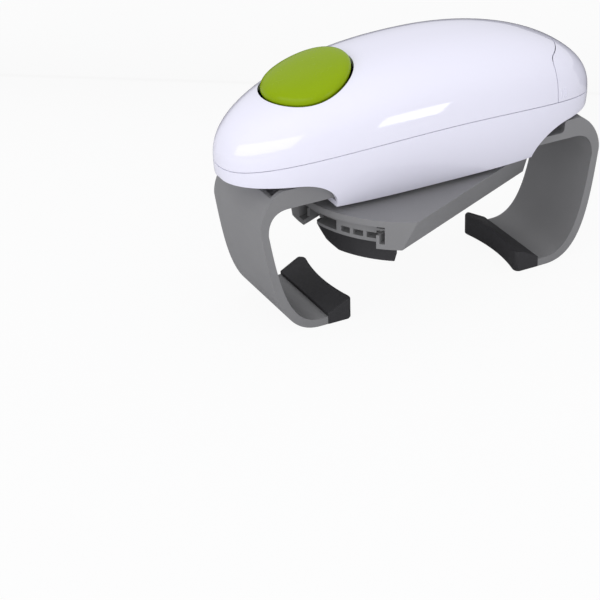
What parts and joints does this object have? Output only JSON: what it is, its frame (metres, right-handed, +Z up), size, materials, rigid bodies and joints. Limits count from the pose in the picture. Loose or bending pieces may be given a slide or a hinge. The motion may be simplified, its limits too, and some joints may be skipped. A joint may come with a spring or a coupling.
{
  "type": "electric jar opener",
  "caption": "Battery-powered jar opener: egg-shaped white body with a green button, C-shaped gray arms that hold the jar, and a turning gripper with rubber jaws for the lid.",
  "frame": {"origin": "on the twist axis, in the plane that the arms and their rubber pads stand on", "axes": "+Z up along the twist axis, -X towards the button end, +X towards the battery end, +Y the far side"},
  "size_m": [0.1887, 0.1042, 0.1214],
  "materials": {
    "shell_white": "glossy, faintly lavender white",
    "button_green": "satin leaf green",
    "arm_gray": "satin mid gray",
    "rubber_black": "matt",
    "gear_white": "natural acetal",
    "black_plastic": "satin",
    "steel": "zinc plated",
    "nickel": "nickel plated",
    "board_green": "solder mask",
    "cell_jacket": "plain printed sleeve",
    "wire": "insulated wire",
    "friction_felt": "pressed felt"
  },
  "bodies": {
    "housing": {"upper_cover": "shell_white", "lower_shell": "shell_white", "cover_screws": "steel", "hub_bush": "gear_white", "chassis_plate": "gear_white", "chassis_screws": "steel", "bridge_plate": "gear_white", "bridge_screws": "steel", "gear_axle": "steel", "motor_case": "steel", "motor_end_cap": "black_plastic", "motor_gearhead": "nickel", "circuit_board": "board_green", "board_screws": "steel", "board_parts": "black_plastic", "switch_body": "black_plastic", "battery_tray": "shell_white", "batteries": "cell_jacket", "battery_springs": "nickel", "battery_contacts": "nickel", "motor_leads": "wire", "battery_leads": "wire", "brake_spring": "steel", "button_spring": "steel"},
    "door": {"battery_door": "shell_white", "door_contact": "nickel"},
    "button": {"power_button": "button_green", "switch_plunger": "gear_white"},
    "carrier": {"lid_carrier": "arm_gray", "output_hub": "gear_white", "hub_screws": "steel", "drive_gear": "gear_white", "hub_clip": "steel"},
    "near_jaw": {"near_jaw": "arm_gray", "near_jaw_rubber": "rubber_black"},
    "far_jaw": {"far_jaw": "arm_gray", "far_jaw_rubber": "rubber_black"},
    "jaw_pinion": {"jaw_pinion": "gear_white", "brake_disc": "black_plastic"},
    "left_arm": {"left_arm": "arm_gray", "left_rack": "black_plastic", "left_pad": "rubber_black", "left_rack_screws": "steel"},
    "right_arm": {"right_arm": "arm_gray", "right_rack": "black_plastic", "right_pad": "rubber_black", "right_rack_screws": "steel"},
    "arm_pinion": {"arm_pinion": "gear_white", "clutch_washer": "friction_felt"},
    "reduction_gear": {"reduction_gear": "gear_white"},
    "output_pinion": {"output_pinion": "steel"}
  },
  "joints": [
    {"name": "carrier_twist", "type": "hinge", "parent": "housing", "child": "carrier", "pos_m": [0, 0, 0.0572], "axis": [0, 0, 1], "continuous": true},
    {"name": "near_jaw_slide", "type": "slide", "parent": "carrier", "child": "near_jaw", "axis": [0.9063, 0.4226, 0], "range_m": [-0.003, 0.026]},
    {"name": "far_jaw_slide", "type": "slide", "parent": "carrier", "child": "far_jaw", "axis": [-0.9063, -0.4226, 0], "range_m": [-0.003, 0.026]},
    {"name": "jaw_pinion_spin", "type": "hinge", "parent": "carrier", "child": "jaw_pinion", "pos_m": [0, 0, 0.05], "axis": [0, 0, 1], "range_deg": [-25, 213]},
    {"name": "left_arm_slide", "type": "slide", "parent": "housing", "child": "left_arm", "axis": [1, 0, 0], "range_m": [-0.003, 0.022]},
    {"name": "right_arm_slide", "type": "slide", "parent": "housing", "child": "right_arm", "axis": [-1, 0, 0], "range_m": [-0.003, 0.022]},
    {"name": "arm_pinion_spin", "type": "hinge", "parent": "housing", "child": "arm_pinion", "pos_m": [0, 0, 0.069], "axis": [0, 0, 1], "range_deg": [-22, 158]},
    {"name": "reduction_spin", "type": "hinge", "parent": "housing", "child": "reduction_gear", "pos_m": [-0.02667, 0.01374, 0.085], "axis": [0, 0, 1], "continuous": true},
    {"name": "output_spin", "type": "hinge", "parent": "housing", "child": "output_pinion", "pos_m": [-0.017, 0, 0.09], "axis": [0, 0, 1], "continuous": true},
    {"name": "button_press", "type": "slide", "parent": "housing", "child": "button", "axis": [0, 0, -1], "range_m": [0, 0.0015], "stiffness_N_per_m": 600, "springref_m": -0.0025, "deforming": ["button_spring"]},
    {"name": "door_slide", "type": "slide", "parent": "housing", "child": "door", "axis": [1, 0, 0], "range_m": [0, 0.04]}
  ],
  "couplings": [
    {"joint": "far_jaw_slide", "follows": "near_jaw_slide", "ratio": 1},
    {"joint": "jaw_pinion_spin", "follows": "near_jaw_slide", "rad_per_m": 142.86},
    {"joint": "right_arm_slide", "follows": "left_arm_slide", "ratio": 1},
    {"joint": "arm_pinion_spin", "follows": "left_arm_slide", "rad_per_m": 125},
    {"joint": "reduction_spin", "follows": "carrier_twist", "ratio": -4},
    {"joint": "output_spin", "follows": "carrier_twist", "ratio": 10}
  ]
}
